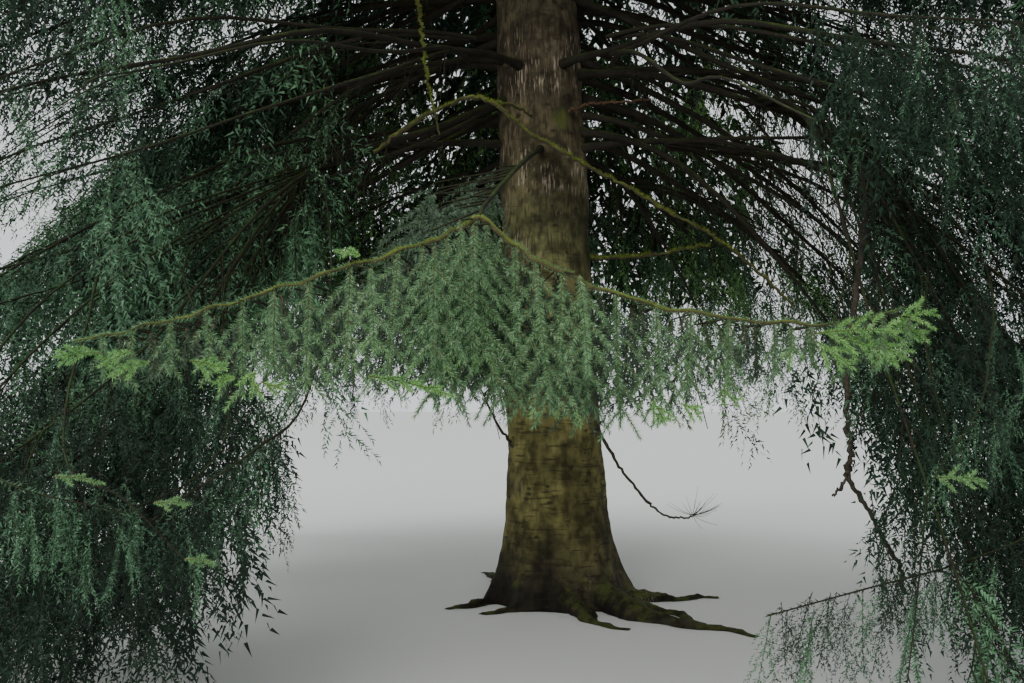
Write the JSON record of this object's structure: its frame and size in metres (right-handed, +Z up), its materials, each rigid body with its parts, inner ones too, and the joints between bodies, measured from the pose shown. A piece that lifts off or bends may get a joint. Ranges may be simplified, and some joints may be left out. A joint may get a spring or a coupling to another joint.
{
  "type": "spruce tree",
  "caption": "Mature spruce rooted in level ground: leaning trunk with root flare, weeping lower boughs in tiers and masses of hanging foliage up to the leader.",
  "frame": {"origin": "centre of the flat cut under the trunk, at ground level", "axes": "+Z straight up, -Y towards the front, where the picture was taken from; the trunk leans a little towards -X"},
  "size_m": [10.1186, 10.1356, 25],
  "materials": {
    "bark": "rough olive-brown bark with fine cross cracks and moss",
    "bough_bark": "rough dark bark, mossy on top",
    "needles": "dark green needles with light green tips"
  },
  "bodies": {
    "root": {"trunk": "bark", "bough_high_1": "bough_bark", "bough_high_2": "bough_bark", "bough_high_3": "bough_bark", "bough_high_4": "bough_bark", "bough_high_5": "bough_bark", "bough_low_1": "bough_bark", "bough_low_2": "bough_bark", "bough_low_3": "bough_bark", "bough_low_4": "bough_bark", "bough_low_5": "bough_bark", "bough_middle_1": "bough_bark", "bough_middle_2": "bough_bark", "bough_middle_3": "bough_bark", "bough_middle_4": "bough_bark", "bough_middle_5": "bough_bark", "bough_middle_6": "bough_bark", "foliage_crown_1_1": "needles", "foliage_crown_1_2": "needles", "foliage_crown_1_3": "needles", "foliage_crown_1_4": "needles", "foliage_crown_1_5": "needles", "foliage_crown_2_1": "needles", "foliage_crown_2_2": "needles", "foliage_crown_2_3": "needles", "foliage_crown_2_4": "needles", "foliage_crown_2_5": "needles", "foliage_crown_3_1": "needles", "foliage_crown_3_2": "needles", "foliage_crown_3_3": "needles", "foliage_crown_3_4": "needles", "foliage_crown_4_1": "needles", "foliage_crown_4_2": "needles", "foliage_crown_4_3": "needles", "foliage_crown_5_1": "needles", "foliage_crown_5_2": "needles", "foliage_crown_5_3": "needles", "foliage_crown_6_1": "needles", "foliage_crown_6_2": "needles", "foliage_crown_7_1": "needles", "foliage_crown_7_2": "needles", "foliage_high_1": "needles", "foliage_high_2": "needles", "foliage_high_3": "needles", "foliage_high_4": "needles", "foliage_high_5": "needles", "foliage_low_1": "needles", "foliage_low_2": "needles", "foliage_low_3": "needles", "foliage_low_4": "needles", "foliage_low_5": "needles", "foliage_middle_1": "needles", "foliage_middle_2": "needles", "foliage_middle_3": "needles", "foliage_middle_4": "needles", "foliage_middle_5": "needles", "foliage_middle_6": "needles"}
  },
  "joints": []
}
